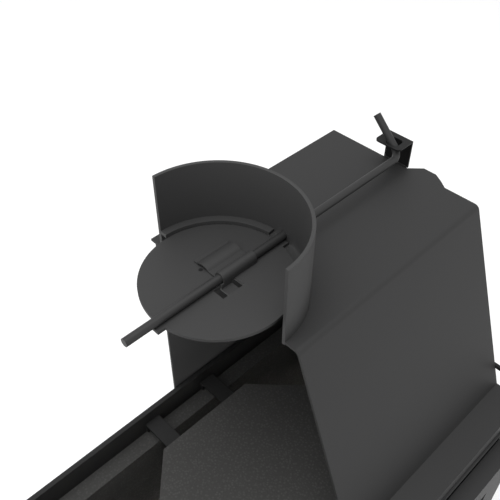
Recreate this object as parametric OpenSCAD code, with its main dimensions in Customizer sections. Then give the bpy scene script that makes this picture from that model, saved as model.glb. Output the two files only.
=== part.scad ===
// Steel fireplace insert on adjustable feet. The hood and the flue collar are sectioned on the
// flue axis, so the throttle damper and its linkage stay visible; the firebox below is whole.
// Millimetres, Z up, front towards -Y. The origin is on the floor under the flue axis.

/* [Body] */
// Width of the steel body
body_width = 662; // [640:1:700]
// Flue axis to the rear face
flue_to_rear = 110; // [107:0.5:116]
// Rear edge of the top plate behind the rear face
plate_overhang = 8; // [4:0.5:12]
// Flue axis to the front fold of the top plate
flue_to_fold = 119; // [115:0.5:124]
// Flue axis to the foot of the sloped front
flue_to_slope_foot = 220.5; // [212:0.5:228]
// Flue axis to the front face of the firebox
flue_to_front = 262; // [254:1:272]
// Height of the top plate
body_top = 782; // [770:1:800]
// Height of the ledge at the foot of the slope
hood_base = 510; // [505:1:518]
// Height where the section through the hood ends
section_height = 490; // [487:0.5:494]
// Height of the body's underside
foot_height = 30; // [28:0.5:34]
// Sheet thickness
sheet = 3; // [2.5:0.1:3.5]
// Outer radius of the front fold
fold_radius = 8; // [6:0.5:10]

/* [Side tab] */
// Tab reach beyond the side edge
tab_reach = 15.5; // [12:0.5:18]
// Tab reach at its front knee
tab_knee_reach = 8.5; // [6:0.5:11]
// Flue axis to the rear root of the tab
tab_rear = 10; // [10:0.5:12]
// Flue axis to the rear tip of the tab
tab_tip_rear = 26; // [23:0.5:29]
// Flue axis to the front tip of the tab
tab_tip_front = 45; // [40:0.5:48]
// Flue axis to the front knee of the tab
tab_knee = 57; // [54:0.5:60]
// Flue axis to the front root of the tab
tab_front = 69; // [66:0.5:74]

/* [Flue collar] */
// Outer diameter of the collar
collar_diameter = 200; // [196:0.5:202]
// Wall of the collar
collar_wall = 4; // [3:0.25:4.5]
// Collar height above the top plate
collar_height = 102.4; // [95:0.1:110]
// Collar length below the top plate
collar_stub = 2; // [0.5:0.1:3]
// Top of the damper seat ring above the top plate
seat_height = 26; // [24:0.5:28]
// Gap from the damper disc to the seat ring
seat_gap = 1; // [0.8:0.1:2]
// Thickness of the damper seat ring
seat_thickness = 4.5; // [4:0.5:8]
// Angle from the side where the seat ring starts
seat_start = 5.5; // [5:0.5:12]

/* [Damper] */
// Diameter of the damper disc
disc_diameter = 172; // [168:0.5:176]
// Thickness of the damper disc
disc_thickness = 4; // [3:0.25:5]
// Top of the disc above the top plate
disc_height = 21.5; // [20:0.1:23]
// Diameter of the damper shaft
shaft_diameter = 10; // [9:0.1:11]
// Shaft axis in front of the flue axis
shaft_setback = 6.5; // [5:0.5:8]
// Length of the shaft left of the flue axis
shaft_left = 128; // [120:1:136]
// Flue axis to the plane of the crank
crank_reach = 312; // [309:0.5:315]
// Centre line radius of the crank bend
crank_bend = 14; // [12:0.5:15]
// Length of the crank from the shaft axis
crank_length = 61.7; // [54:0.1:68]
// Lean of the crank to the rear when the damper is shut
crank_lean = 45; // [44:0.5:46]
// Width of the disc's ears under the shaft
ear_width = 18; // [14:0.5:22]
// Flue axis to the end of the ears
ear_reach = 94; // [90:0.5:95]
// Radial clearance of the running fit in the collar
shaft_clearance = 0.06; // [0.04:0.01:0.08]

/* [Damper clamp] */
// Left end of the clamp beside the flue axis
clamp_left = 3; // [1:0.5:5]
// Length of the clamp
clamp_length = 49; // [42:1:56]
// Sheet thickness of the clamp
clamp_sheet = 2; // [1.5:0.1:2.2]
// Flue axis to the centre of the rear hump
hump_offset = 21; // [20:0.5:22]
// Width of the rear hump
hump_width = 24; // [20:0.5:26]
// Rise of the rear hump above the disc
hump_rise = 5.5; // [4:0.5:7]
// Width of the clamp's feet
clamp_foot = 4.5; // [3:0.5:6]
// Width of the clamp's tongue
tongue_width = 15; // [12:0.5:17]
// Flue axis to the tongue's left edge
tongue_left = 7; // [6:0.5:9]
// Length of the tongue past the shaft hump
tongue_reach = 18; // [16:0.5:20]
// Gap left of the tongue in its opening
tongue_gap_left = 10; // [8:0.5:11]
// Gap right of the tongue in its opening
tongue_gap_right = 5; // [4:0.5:7]
// Diameter of the rivet in the disc
rivet_diameter = 5; // [4:0.25:6]

/* [Damper control slide] */
// Flange of the slide above the shaft axis, mid-thickness
flange_rise = 13.5; // [13.2:0.1:13.8]
// Sheet thickness of the slide
slide_sheet = 2.2; // [2:0.1:3]
// Width of the slide's upright leg
slide_width = 39; // [37:0.5:40]
// Flue axis to the rear edge of the slide
slide_rear = 29; // [28:0.5:30]
// Flue axis to the flange's inner edge
flange_inner = 302.5; // [300:0.5:303.5]
// Radius of the flange's inner corners
flange_corner = 6; // [3:0.5:8]
// Length of the crank slot
slot_length = 18; // [18:0.25:20]
// Width of the crank slot
slot_width = 18; // [17:0.5:19]
// Radius of the slot's corners
slot_corner = 5; // [3:0.5:5]
// Gap between the slide and the body
slide_gap = 0.3; // [0.25:0.05:0.5]
// Width of the slide's arm on the side wall
arm_width = 9; // [7:0.5:9.5]
// Thickness of the pull bar
bar_size = 5; // [4.5:0.1:5.5]
// Height of the pull bar above the ledge
bar_rise = 31; // [26:0.5:34]
// Length of the pull bar beyond the front face
bar_overhang = 22; // [18:1:28]
// Diameter of the pull knob
knob_diameter = 16; // [14:0.5:20]
// Length of the pull knob
knob_length = 20; // [16:0.5:24]
// Wall of the bar guides
guide_wall = 3; // [2.5:0.1:4]
// Length of the bar guides
guide_length = 14; // [10:0.5:18]
// Flue axis to the rear bar guide
guide_rear = 60; // [54:1:70]
// Flue axis to the front bar guide
guide_front = 186; // [176:1:190]
// Clearance between moving parts
running_gap = 0.3; // [0.25:0.01:0.35]

/* [Firebox] */
// Thickness of the refractory boards
board = 25; // [20:0.5:27]
// Thickness of the steel rear liner
liner = 6; // [5:0.25:7]
// Air gap behind the rear liner
liner_gap = 3; // [2.5:0.1:3.5]
// Top of the rear liner
liner_top = 498; // [495:0.5:502]
// Top of the refractory boards
board_top = 460; // [440:1:466]
// Top of the hearth tray
tray_top = 108; // [104:0.5:110]
// Thickness of the hearth slab
slab = 28; // [26:0.5:30]
// Half span of the ash tunnel
tunnel_half = 128; // [126:0.5:134]
// Width of the grate opening
grate_width = 210; // [200:1:220]
// Depth of the grate opening
grate_depth = 150; // [140:1:160]
// Flue axis to the centre of the grate
grate_forward = 70; // [64:1:76]
// Thickness of the grate
grate_thickness = 12; // [10:0.5:14]
// Bearing width around the grate
grate_land = 10; // [8:0.5:12]
// Height of the log retainer
retainer_height = 52; // [44:1:58]
// Thickness of the log retainer
retainer_thickness = 8; // [6:0.5:10]
// Gap between the log retainer and the front plate
retainer_gap = 22; // [18:0.5:26]

/* [Baffle] */
// Top of the baffle
baffle_top = 498; // [494:0.5:502]
// Thickness of the baffle
baffle_thickness = 20; // [16:0.5:24]
// Rear edge of the baffle behind the flue axis
baffle_rear = 39; // [34:0.5:42]
// Half width of the baffle's rear edge
baffle_rear_half = 76.5; // [72:0.5:84]
// Half width of the baffle's front edge
baffle_front_half = 305; // [296:1:312]
// Flue axis to the front edge of the baffle
baffle_front = 203; // [196:1:208]
// Width of the baffle's rear rests
rest_width = 24; // [20:0.5:30]
// Flue axis to the rear rests
rest_offset = 52; // [46:0.5:56]
// Length of the baffle's side rests
side_rest_length = 60; // [54:1:66]
// Reach of the side rests from the side wall
side_rest_reach = 92; // [84:1:96]
// Thickness of the rests
rest_sheet = 4; // [3:0.5:5]

/* [Front frame] */
// Half width of the front frame
frame_half = 350; // [342:1:360]
// Top of the front frame
frame_top = 486; // [483:0.5:486.5]
// Half width of the frame's door opening
frame_opening_half = 304; // [303:0.5:308]
// Bottom of the frame's door opening
frame_opening_bottom = 92; // [91:0.5:93]
// Top of the frame's door opening
frame_opening_top = 478; // [477:0.5:480]
// Half width of the firebox mouth
mouth_half = 272; // [270:0.5:273]
// Bottom of the firebox mouth
mouth_bottom = 140; // [139:0.5:142]
// Top of the firebox mouth
mouth_top = 440; // [436:1:442]

/* [Door] */
// Half width of the door
door_half = 298; // [297:0.25:299]
// Bottom of the door
door_bottom = 108; // [107:0.5:109]
// Top of the door
door_top = 462; // [460:0.5:463]
// Gap behind the door, filled by the rope seal
door_gap = 2; // [1.8:0.1:2.4]
// Thickness of the door frame
door_thickness = 25; // [24:0.5:26]
// Half width of the glass opening
window_half = 236; // [232:0.5:238]
// Height of the door's rails around the window
rail = 52; // [50:0.5:54]
// Step behind the glass opening
rebate = 12; // [11:0.5:12.5]
// Thickness of the door's front lip
lip = 8; // [7:0.5:9]
// Thickness of the glass
glass = 4; // [4:0.1:5]
// Gap around the glass
glass_gap = 2; // [1.5:0.1:2.5]
// Length of the glass clips
clip_length = 44; // [36:1:50]
// Width of the glass clips
clip_width = 16; // [14.5:0.5:18]
// Thickness of the glass clips
clip_sheet = 2; // [1.5:0.1:2.5]
// Width of the rope seal
seal_width = 9; // [8:0.25:10]
// Depth of the rope seal's channel
seal_channel = 7; // [6:0.25:8]
// Edge of the door to the rope seal
seal_inset = 9; // [8:0.25:10]

/* [Door hinges] */
// Diameter of the hinge pins
pin_diameter = 8; // [7:0.25:8.5]
// Edge of the door to the hinge pins
pin_inset = 6; // [5.5:0.1:6.2]
// Gap from the firebox face to the pin axis
pin_forward = 14; // [13.8:0.1:14.4]
// Depth of the pins in the door
pin_depth = 20; // [16:0.5:24]
// Height of the hinge blocks
hinge_height = 13; // [11:0.5:14]
// Width of the hinge blocks
hinge_width = 22; // [20:0.5:24]
// Radial clearance of the hinge pins
pin_clearance = 0.06; // [0.04:0.01:0.08]

/* [Door handle] */
// Flue axis to the handle spindle
spindle_offset = 261; // [259:0.5:262]
// Diameter of the handle spindle
spindle_diameter = 12; // [10:0.5:13]
// Radial clearance of the spindle
spindle_clearance = 0.06; // [0.04:0.01:0.08]
// Handle stand-off in front of the door
handle_stand = 26; // [22:0.5:32]
// Diameter of the handle grip
grip_diameter = 16; // [14:0.5:18]
// Length of the handle grip
grip_length = 130; // [120:1:140]
// Length of the latch
latch_length = 24; // [22:0.5:26]
// Width of the latch
latch_width = 16; // [14:0.5:18]
// Thickness of the latch
latch_sheet = 6; // [5:0.25:7]

/* [Ash pan] */
// Half width of the ash pan
pan_half = 118; // [114:0.5:120]
// Wall of the ash pan
pan_wall = 1.5; // [1:0.1:2]
// Height of the ash pan
pan_height = 44; // [40:0.5:46]
// Length of the ash pan
pan_length = 250; // [230:1:262]
// Overlap of the pan's front around its opening
pan_overlap = 6; // [5:0.25:7]
// Thickness of the pan's front
pan_front = 4; // [3:0.25:5]
// Diameter of the pan's pull
pull_diameter = 20; // [16:0.5:24]
// Length of the pan's pull
pull_length = 18; // [14:0.5:22]

/* [Air control] */
// Flue axis to the shut position of the air knob
air_offset = 190; // [186:1:196]
// Travel of the air slider
air_travel = 50; // [44:1:54]
// Height of the air slot's centre
air_height = 66; // [64:0.5:68]
// Height of the air slot
air_slot = 8; // [7:0.25:9]
// Diameter of the air slider's stem
air_stem = 7; // [6:0.25:6.75]
// Height of the air slider plate
air_plate = 30; // [27:0.5:32]
// Length of the air slider plate
air_plate_length = 76; // [70:1:82]
// Thickness of the air slider plate
air_sheet = 2; // [1.5:0.1:2.5]
// Diameter of the air knob
air_knob = 18; // [16:0.5:22]
// Length of the air knob
air_knob_length = 16; // [14:0.5:20]
// Width of the air slider's rails
rail_width = 6; // [5:0.25:7]

/* [Air spigot and feet] */
// Outer diameter of the outside air spigot
spigot_diameter = 100; // [95:1:102]
// Wall of the spigot
spigot_wall = 2; // [1.5:0.1:2.5]
// Length of the spigot behind the rear face
spigot_length = 45; // [40:1:55]
// Spigot height above the body's underside
spigot_rise = 57; // [56:0.5:60]
// Diameter of the foot pads
pad_diameter = 44; // [38:1:50]
// Thickness of the foot pads
pad_thickness = 9; // [7:0.5:11]
// Diameter of the foot screws
screw_diameter = 14; // [12:0.5:16]
// Body edge to the feet
foot_inset = 42; // [38:1:48]

/* [Hidden] */
$fn = 64;
body_half = body_width / 2;
weld_gap = running_gap / 10;

turn_angle = atan2(body_top - hood_base, flue_to_slope_foot - flue_to_fold);
fold_tangent = fold_radius * tan(turn_angle / 2);
plate_under = body_top - sheet;

collar_radius = collar_diameter / 2;
bore_radius = collar_radius - collar_wall;
collar_bottom = plate_under - collar_stub;
collar_top = body_top + collar_height;

disc_top = body_top + disc_height;
disc_under = disc_top - disc_thickness;
disc_radius = disc_diameter / 2;
seat_top = body_top + seat_height;
seat_radius = disc_radius + seat_gap;
shaft_radius = shaft_diameter / 2;
shaft_height = disc_top + shaft_radius + weld_gap;
shaft_y = -shaft_setback;

saddle_inner = shaft_radius + weld_gap;
saddle_outer = saddle_inner + clamp_sheet;
saddle_front = shaft_y - saddle_outer;
tongue_end = saddle_front - tongue_reach;
tongue_drop = disc_thickness + weld_gap + clamp_sheet;
hump_radius = (pow(hump_width / 2, 2) + pow(hump_rise, 2)) / (hump_rise * 2);
hump_front = hump_offset - hump_width / 2;
hump_back = hump_offset + hump_width / 2;
rivet_x = -clamp_left - rivet_diameter * 0.55;

flange_mid = shaft_height + flange_rise;
flange_top = flange_mid + slide_sheet / 2;
slot_center = shaft_y + flange_rise * tan(crank_lean);
leg_inner = body_half + slide_gap;
leg_bottom = body_top + slide_gap;
slide_front = slide_rear - slide_width;
bar_bottom = hood_base + bar_rise - bar_size;
bar_front = flue_to_front + bar_overhang;

inner_half = body_half - sheet;
inner_rear = flue_to_rear - sheet;
inner_front = flue_to_front - sheet;
floor_top = foot_height + sheet;
liner_front = inner_rear - liner_gap - liner;
slab_top = tray_top + slab;
baffle_bottom = baffle_top - baffle_thickness;
rest_top = baffle_bottom - running_gap;

door_rear = flue_to_front + door_gap;
door_front = door_rear + door_thickness;
door_height = door_top - door_bottom;
window_bottom = door_bottom + rail;
window_top = door_top - rail;
glass_front = door_front - lip;
pin_x = pin_inset - door_half;
pin_y = -(flue_to_front + pin_forward);
spindle_z = (door_bottom + door_top) / 2;
frame_front = flue_to_front + sheet;
pan_bottom = floor_top + running_gap;
pan_top = pan_bottom + pan_height;
pan_opening = pan_half + running_gap * 4;
foot_x = body_half - foot_inset;
foot_front = flue_to_front - foot_inset;
foot_back = flue_to_rear - foot_inset;
spigot_z = foot_height + spigot_rise;

// Extrudes a profile drawn in Y and Z along X.
module along_x(start, length) {
  translate([start, 0, 0])
    rotate([90, 0, 90])
      linear_extrude(length)
        children();
}

// Box from its lower corner and its size.
module block(corner, size) {
  translate(corner)
    cube(size);
}

// Cylinder with its axis along X.
module rod_x(start, radius, length, y, z) {
  translate([start, y, z])
    rotate([0, 90, 0])
      cylinder(r = radius, h = length);
}

// Cylinder with its axis towards the front.
module rod_front(x, start, z, radius, length) {
  translate([x, start, z])
    rotate([90, 0, 0])
      cylinder(r = radius, h = length);
}

// Outer or inner side of the folded hood sheet, set in by a wall.
module hood_outline(wall) {
  fold_in = wall * tan(turn_angle / 2);
  foot_in = wall / sin(turn_angle);
  fold_run = fold_tangent * cos(turn_angle);
  fold_drop = fold_tangent * sin(turn_angle);
  polygon([[fold_tangent - flue_to_fold, body_top - wall],
    [flue_to_rear + plate_overhang + wall, body_top - wall],
    [flue_to_rear + plate_overhang + wall, section_height - wall],
    [wall - flue_to_front, section_height - wall],
    [wall - flue_to_front, hood_base - wall],
    [foot_in - flue_to_slope_foot, hood_base - wall],
    [foot_in - flue_to_slope_foot, hood_base],
    [wall * sin(turn_angle) - flue_to_fold - fold_run,
      body_top - fold_drop - wall * cos(turn_angle)]]);
  translate([fold_tangent - flue_to_fold, body_top - fold_radius])
    circle(r = fold_radius - wall);
}

// Section through the folded hood sheet.
module hood_profile() {
  intersection() {
    difference() {
      hood_outline(0);
      hood_outline(sheet);
    }
    translate([-flue_to_front, section_height])
      square([flue_to_front + flue_to_rear + plate_overhang, body_top]);
  }
}

module firebox_shell() {
  color("#35373a")
    difference() {
      block([-body_half, -flue_to_front, foot_height],
        [body_width, flue_to_front + flue_to_rear, section_height - foot_height]);
      block([-inner_half, -inner_front, floor_top],
        [inner_half * 2, inner_front + inner_rear, section_height]);
      block([-mouth_half, -flue_to_front - sheet, mouth_bottom],
        [mouth_half * 2, sheet * 3, mouth_top - mouth_bottom]);
      block([-pan_opening, -flue_to_front - sheet, floor_top],
        [pan_opening * 2, sheet * 3, pan_height + running_gap * 3]);
      block([air_offset - air_slot / 2, -flue_to_front - sheet, air_height - air_slot / 2],
        [air_travel + air_slot, sheet * 3, air_slot]);
      translate([0, flue_to_rear + sheet, spigot_z])
        rotate([90, 0, 0])
          cylinder(r = spigot_diameter / 2 - spigot_wall, h = sheet * 3);
    }
}

module hood_sheet() {
  color("#3b3d40")
    difference() {
      union() {
        along_x(0, body_half)
          hood_profile();
        translate([body_half - sheet, 0, plate_under])
          linear_extrude(sheet)
            polygon([[0, -tab_rear], [sheet, -tab_rear], [sheet + tab_reach, -tab_tip_rear],
              [sheet + tab_reach, -tab_tip_front], [sheet + tab_knee_reach, -tab_knee],
              [sheet, -tab_front], [0, -tab_front]]);
      }
      translate([0, 0, plate_under - sheet])
        cylinder(r = collar_radius + weld_gap, h = sheet * 3, $fn = 128);
    }
}

module hood_rear_wall() {
  color("#35373a")
    block([0, inner_rear, section_height], [body_half, sheet, plate_under - section_height]);
}

module hood_side_wall() {
  inner_corner = sheet * tan(turn_angle / 2);
  foot_in = sheet / sin(turn_angle);
  color("#37393c")
    along_x(inner_half, sheet)
      difference() {
        polygon([[inner_rear, section_height], [inner_rear, plate_under],
          [inner_corner - flue_to_fold, plate_under],
          [foot_in - flue_to_slope_foot, hood_base],
          [foot_in - flue_to_slope_foot, hood_base - sheet],
          [-inner_front, hood_base - sheet], [-inner_front, section_height]]);
        hood_profile();
      }
}

module flue_collar() {
  color("#3a3c3f")
    intersection() {
      difference() {
        translate([0, 0, collar_bottom])
          cylinder(r = collar_radius, h = collar_top - collar_bottom, $fn = 128);
        translate([0, 0, collar_bottom - collar_wall])
          cylinder(r = bore_radius, h = collar_top, $fn = 128);
        rod_x(0, shaft_radius + shaft_clearance, collar_diameter, shaft_y, shaft_height);
      }
      block([0, -collar_diameter, collar_bottom], [collar_diameter, collar_diameter * 2, collar_top]);
    }
}

module damper_seat() {
  color("#404245")
    translate([0, 0, seat_top - seat_thickness])
      rotate([0, 0, seat_start])
        rotate_extrude(angle = 90 - seat_start, $fn = 128)
          translate([seat_radius, 0])
            square([bore_radius - weld_gap - seat_radius, seat_thickness]);
}

module damper_disc() {
  opening_front = tongue_end + clamp_sheet * 2;
  opening_width = tongue_width + tongue_gap_left + tongue_gap_right;
  color("#46484b")
    difference() {
      union() {
        translate([0, 0, disc_under])
          cylinder(r = disc_radius, h = disc_thickness, $fn = 128);
        block([-ear_reach, shaft_y - ear_width / 2, disc_under],
          [ear_reach * 2, ear_width, disc_thickness]);
      }
      block([-tongue_left - tongue_gap_left, opening_front, disc_under - disc_thickness],
        [opening_width, saddle_front + clamp_sheet + weld_gap - opening_front, disc_thickness * 3]);
      translate([rivet_x, hump_offset, disc_under - disc_thickness])
        cylinder(d = rivet_diameter, h = disc_thickness * 3, $fn = 32);
    }
}

// Section through the clamp that wraps the damper shaft.
module clamp_profile() {
  translate([hump_offset, disc_top + hump_rise - hump_radius])
    intersection() {
      difference() {
        circle(r = hump_radius, $fn = 128);
        circle(r = hump_radius - clamp_sheet, $fn = 128);
      }
      translate([-hump_width / 2, hump_radius - hump_rise])
        square([hump_width, hump_rise]);
    }
  translate([shaft_y, shaft_height])
    intersection() {
      difference() {
        circle(r = saddle_outer);
        circle(r = saddle_inner);
      }
      translate([-saddle_outer, 0])
        square([saddle_outer * 2, saddle_outer]);
    }
  translate([shaft_y + saddle_inner, disc_top])
    square([clamp_sheet, shaft_height - disc_top]);
  translate([saddle_front, disc_top])
    square([clamp_sheet, shaft_height - disc_top]);
  translate([shaft_y + saddle_inner, disc_top])
    square([hump_front + clamp_foot - shaft_y - saddle_inner, clamp_sheet]);
  translate([hump_back - clamp_foot, disc_top])
    square([clamp_foot * 1.5, clamp_sheet]);
}

module damper_clamp() {
  color("#4a4c4f") {
    along_x(-clamp_left, clamp_length)
      clamp_profile();
    along_x(-tongue_left, tongue_width) {
      translate([saddle_front, disc_top - tongue_drop])
        square([clamp_sheet, tongue_drop + clamp_sheet]);
      translate([tongue_end, disc_top - tongue_drop])
        square([tongue_reach + clamp_sheet, clamp_sheet]);
    }
  }
}

module disc_rivet() {
  color("#55575a")
    translate([rivet_x, hump_offset, disc_under])
      cylinder(r = rivet_diameter / 2 - weld_gap, h = disc_thickness, $fn = 32);
}

module damper_shaft() {
  color("#505254")
    translate([0, shaft_y, shaft_height])
      rotate([-crank_lean, 0, 0]) {
        rod_x(-shaft_left, shaft_radius, shaft_left + crank_reach - crank_bend, 0, 0);
        translate([crank_reach - crank_bend, 0, crank_bend])
          rotate([90, 0, 0])
            rotate([0, 0, -90])
              rotate_extrude(angle = 90, $fn = 96)
                translate([crank_bend, 0])
                  circle(r = shaft_radius, $fn = 48);
        translate([crank_reach, 0, crank_bend])
          cylinder(r = shaft_radius, h = crank_length - crank_bend, $fn = 48);
      }
}

// Flange of the slide with its two rounded inner corners.
module flange_outline() {
  corner_x = flange_inner + flange_corner;
  translate([corner_x, slide_front])
    square([leg_inner + slide_sheet - corner_x, slide_width]);
  translate([flange_inner, slide_front + flange_corner])
    square([flange_corner * 2, slide_width - flange_corner * 2]);
  translate([corner_x, slide_front + flange_corner])
    circle(r = flange_corner);
  translate([corner_x, slide_rear - flange_corner])
    circle(r = flange_corner);
}

// Slot for the crank, from its front left corner.
module slot_outline() {
  translate([slot_corner, 0])
    square([slot_width - slot_corner * 2, slot_length]);
  translate([0, slot_corner])
    square([slot_width, slot_length - slot_corner * 2]);
  for (x = [slot_corner, slot_width - slot_corner], y = [slot_corner, slot_length - slot_corner])
    translate([x, y])
      circle(r = slot_corner);
}

module control_slide() {
  color("#3e4043")
    difference() {
      union() {
        block([leg_inner, slide_front, leg_bottom], [slide_sheet, slide_width, flange_top - leg_bottom]);
        translate([0, 0, flange_top - slide_sheet])
          linear_extrude(slide_sheet)
            flange_outline();
        block([leg_inner, slide_rear - arm_width, bar_bottom],
          [slide_sheet, arm_width, leg_bottom + slide_sheet - bar_bottom]);
        block([leg_inner, -bar_front, bar_bottom], [bar_size, bar_front + slide_rear, bar_size]);
      }
      translate([crank_reach - shaft_radius - running_gap, slot_center - slot_length / 2, leg_bottom])
        linear_extrude(flange_top)
          slot_outline();
    }
}

module control_knob() {
  bar_mid = bar_bottom + bar_size / 2;
  color("#26272a")
    difference() {
      rod_front(leg_inner + bar_size / 2, knob_length / 2 - bar_front, bar_mid, knob_diameter / 2, knob_length);
      block([leg_inner, -bar_front, bar_bottom], [bar_size, knob_length, bar_size]);
    }
}

// Guide loop for the pull bar on the side wall.
module bar_guide(front_y) {
  loop_width = bar_size + slide_gap + running_gap + guide_wall;
  loop_height = bar_size + running_gap * 2 + guide_wall * 2;
  difference() {
    block([body_half, -front_y, bar_bottom - running_gap - guide_wall],
      [loop_width, guide_length, loop_height]);
    block([body_half, -front_y - guide_length, bar_bottom - running_gap],
      [loop_width - guide_wall, guide_length * 3, bar_size + running_gap * 2]);
  }
}

module bar_guide_front() {
  color("#3a3c3f")
    bar_guide(guide_front);
}

module bar_guide_rear() {
  color("#3a3c3f")
    bar_guide(guide_rear);
}

module hearth_tray() {
  color("#303234")
    difference() {
      block([-inner_half, -inner_front + sheet * 4, floor_top],
        [inner_half * 2, inner_front + inner_rear - sheet * 4, tray_top - floor_top]);
      block([-tunnel_half, -inner_front, floor_top - sheet],
        [tunnel_half * 2, inner_front + inner_rear + sheet, tray_top - floor_top]);
      block([tunnel_half + sheet, -inner_front, floor_top - sheet],
        [inner_half - tunnel_half - sheet * 2, inner_front + inner_rear + sheet, tray_top - floor_top]);
      block([sheet - inner_half, -inner_front, floor_top - sheet],
        [inner_half - tunnel_half - sheet * 2, inner_front + inner_rear + sheet, tray_top - floor_top]);
      block([-grate_width / 2, -grate_forward - grate_depth / 2, floor_top],
        [grate_width, grate_depth, tray_top]);
    }
}

module hearth_slab() {
  color("#8d8575")
    difference() {
      block([-inner_half, -inner_front + sheet * 4, tray_top],
        [inner_half * 2, inner_front + liner_front - sheet * 4, slab]);
      block([-grate_width / 2, -grate_forward - grate_depth / 2, tray_top - slab],
        [grate_width, grate_depth, slab * 3]);
      block([-grate_width / 2 - grate_land, -grate_forward - grate_depth / 2 - grate_land,
        slab_top - grate_thickness],
        [grate_width + grate_land * 2, grate_depth + grate_land * 2, grate_thickness * 2]);
    }
}

module rear_liner() {
  color("#2e3032")
    difference() {
      block([-inner_half, liner_front, tray_top],
        [inner_half * 2, liner + liner_gap, liner_top - tray_top]);
      block([-body_half, liner_front + liner, tray_top + sheet],
        [body_width, liner_gap * 2, liner_top]);
    }
}

module rear_board() {
  color("#8d8575")
    block([-inner_half + board, liner_front - board, slab_top],
      [inner_half * 2 - board * 2, board, board_top - slab_top]);
}

module left_board() {
  color("#8d8575")
    block([-inner_half, -inner_front + sheet * 4, slab_top],
      [board, inner_front + liner_front - sheet * 4, board_top - slab_top]);
}

module right_board() {
  color("#8d8575")
    block([inner_half - board, -inner_front + sheet * 4, slab_top],
      [board, inner_front + liner_front - sheet * 4, board_top - slab_top]);
}

module fire_grate() {
  slot_count = 9;
  slot_pitch = grate_width / slot_count;
  slot_size = slot_pitch * 0.5;
  color("#2a2b2d")
    difference() {
      block([running_gap - grate_width / 2 - grate_land,
        running_gap - grate_forward - grate_depth / 2 - grate_land, slab_top - grate_thickness],
        [grate_width + grate_land * 2 - running_gap * 2,
          grate_depth + grate_land * 2 - running_gap * 2, grate_thickness]);
      for (i = [0 : slot_count - 1])
        block([slot_pitch * (i + 0.25) - grate_width / 2, grate_land / 2 - grate_forward - grate_depth / 2,
          slab_top - grate_thickness * 2],
          [slot_size, grate_depth - grate_land, grate_thickness * 3]);
    }
}

module log_retainer() {
  retainer_half = inner_half - board - running_gap;
  color("#2a2b2d")
    difference() {
      block([-retainer_half, -inner_front + retainer_gap, slab_top],
        [retainer_half * 2, retainer_thickness, retainer_height]);
      for (i = [-3 : 3])
        translate([retainer_half / 4 * i, retainer_gap - inner_front + retainer_thickness * 2,
          slab_top + retainer_height / 2])
          rotate([90, 0, 0])
            cylinder(d = retainer_height / 3, h = retainer_thickness * 3, $fn = 32);
    }
}

module baffle_plate() {
  color("#8d8575")
    translate([0, 0, baffle_bottom])
      linear_extrude(baffle_thickness)
        polygon([[-baffle_rear_half, baffle_rear], [baffle_rear_half, baffle_rear],
          [baffle_front_half, -baffle_front], [-baffle_front_half, -baffle_front]]);
}

// Angle rest for the baffle's rear edge on the liner.
module rear_rest(x) {
  block([x - rest_width / 2, baffle_rear - board, rest_top - rest_sheet + running_gap],
    [rest_width, liner_front - baffle_rear + board, rest_sheet]);
  block([x - rest_width / 2, liner_front - rest_sheet, rest_top - rest_sheet * 4 + running_gap],
    [rest_width, rest_sheet, rest_sheet * 4]);
}

module baffle_rest_rear_left() {
  color("#303234")
    rear_rest(-rest_offset);
}

module baffle_rest_rear_right() {
  color("#303234")
    rear_rest(rest_offset);
}

// Angle rest for the baffle's front corner on a side wall.
module side_rest(side) {
  start = side > 0 ? inner_half - side_rest_reach : -inner_half;
  wall = side > 0 ? inner_half - rest_sheet : -inner_half;
  block([start, -baffle_front, rest_top - rest_sheet + running_gap],
    [side_rest_reach, side_rest_length, rest_sheet]);
  block([wall, -baffle_front, rest_top - rest_sheet * 4 + running_gap],
    [rest_sheet, side_rest_length, rest_sheet * 4]);
}

module baffle_rest_left() {
  color("#303234")
    side_rest(-1);
}

module baffle_rest_right() {
  color("#303234")
    side_rest(1);
}

module front_frame() {
  color("#2c2d30")
    difference() {
      block([-frame_half, -frame_front, foot_height],
        [frame_half * 2, sheet, frame_top - foot_height]);
      block([-frame_opening_half, -frame_front - sheet, frame_opening_bottom],
        [frame_opening_half * 2, sheet * 3, frame_opening_top - frame_opening_bottom]);
      block([-pan_opening, -frame_front - sheet, floor_top],
        [pan_opening * 2, sheet * 3, pan_height + running_gap * 3]);
      block([air_offset - air_slot / 2, -frame_front - sheet, air_height - air_slot / 2],
        [air_travel + air_slot, sheet * 3, air_slot]);
    }
}

module door_frame() {
  seal_outer = door_half - seal_inset;
  seal_inner = seal_outer - seal_width;
  color("#2a2b2e")
    difference() {
      block([-door_half, -door_front, door_bottom], [door_half * 2, door_thickness, door_height]);
      block([-window_half, -door_front - lip, window_bottom],
        [window_half * 2, door_thickness * 2, window_top - window_bottom]);
      block([-window_half - rebate, -glass_front, window_bottom - rebate],
        [(window_half + rebate) * 2, door_thickness, window_top - window_bottom + rebate * 2]);
      difference() {
        block([-seal_outer, -door_rear - seal_channel, door_bottom + seal_inset],
          [seal_outer * 2, seal_channel * 2, door_height - seal_inset * 2]);
        block([-seal_inner, -door_rear - seal_channel * 2, door_bottom + seal_inset + seal_width],
          [seal_inner * 2, seal_channel * 4, door_height - seal_inset * 2 - seal_width * 2]);
      }
      translate([pin_x, pin_y, door_top - pin_depth])
        cylinder(r = pin_diameter / 2 + pin_clearance, h = pin_depth * 2);
      translate([pin_x, pin_y, door_bottom - pin_depth])
        cylinder(r = pin_diameter / 2 + pin_clearance, h = pin_depth * 2);
      rod_front(spindle_offset, -flue_to_front, spindle_z,
        spindle_diameter / 2 + spindle_clearance, door_thickness * 2);
    }
}

module door_glass() {
  glass_half = window_half + rebate - glass_gap;
  color("#1c1e20")
    block([-glass_half, -glass_front, window_bottom - rebate + glass_gap],
      [glass_half * 2, glass, window_top - window_bottom + rebate * 2 - glass_gap * 2]);
}

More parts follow.
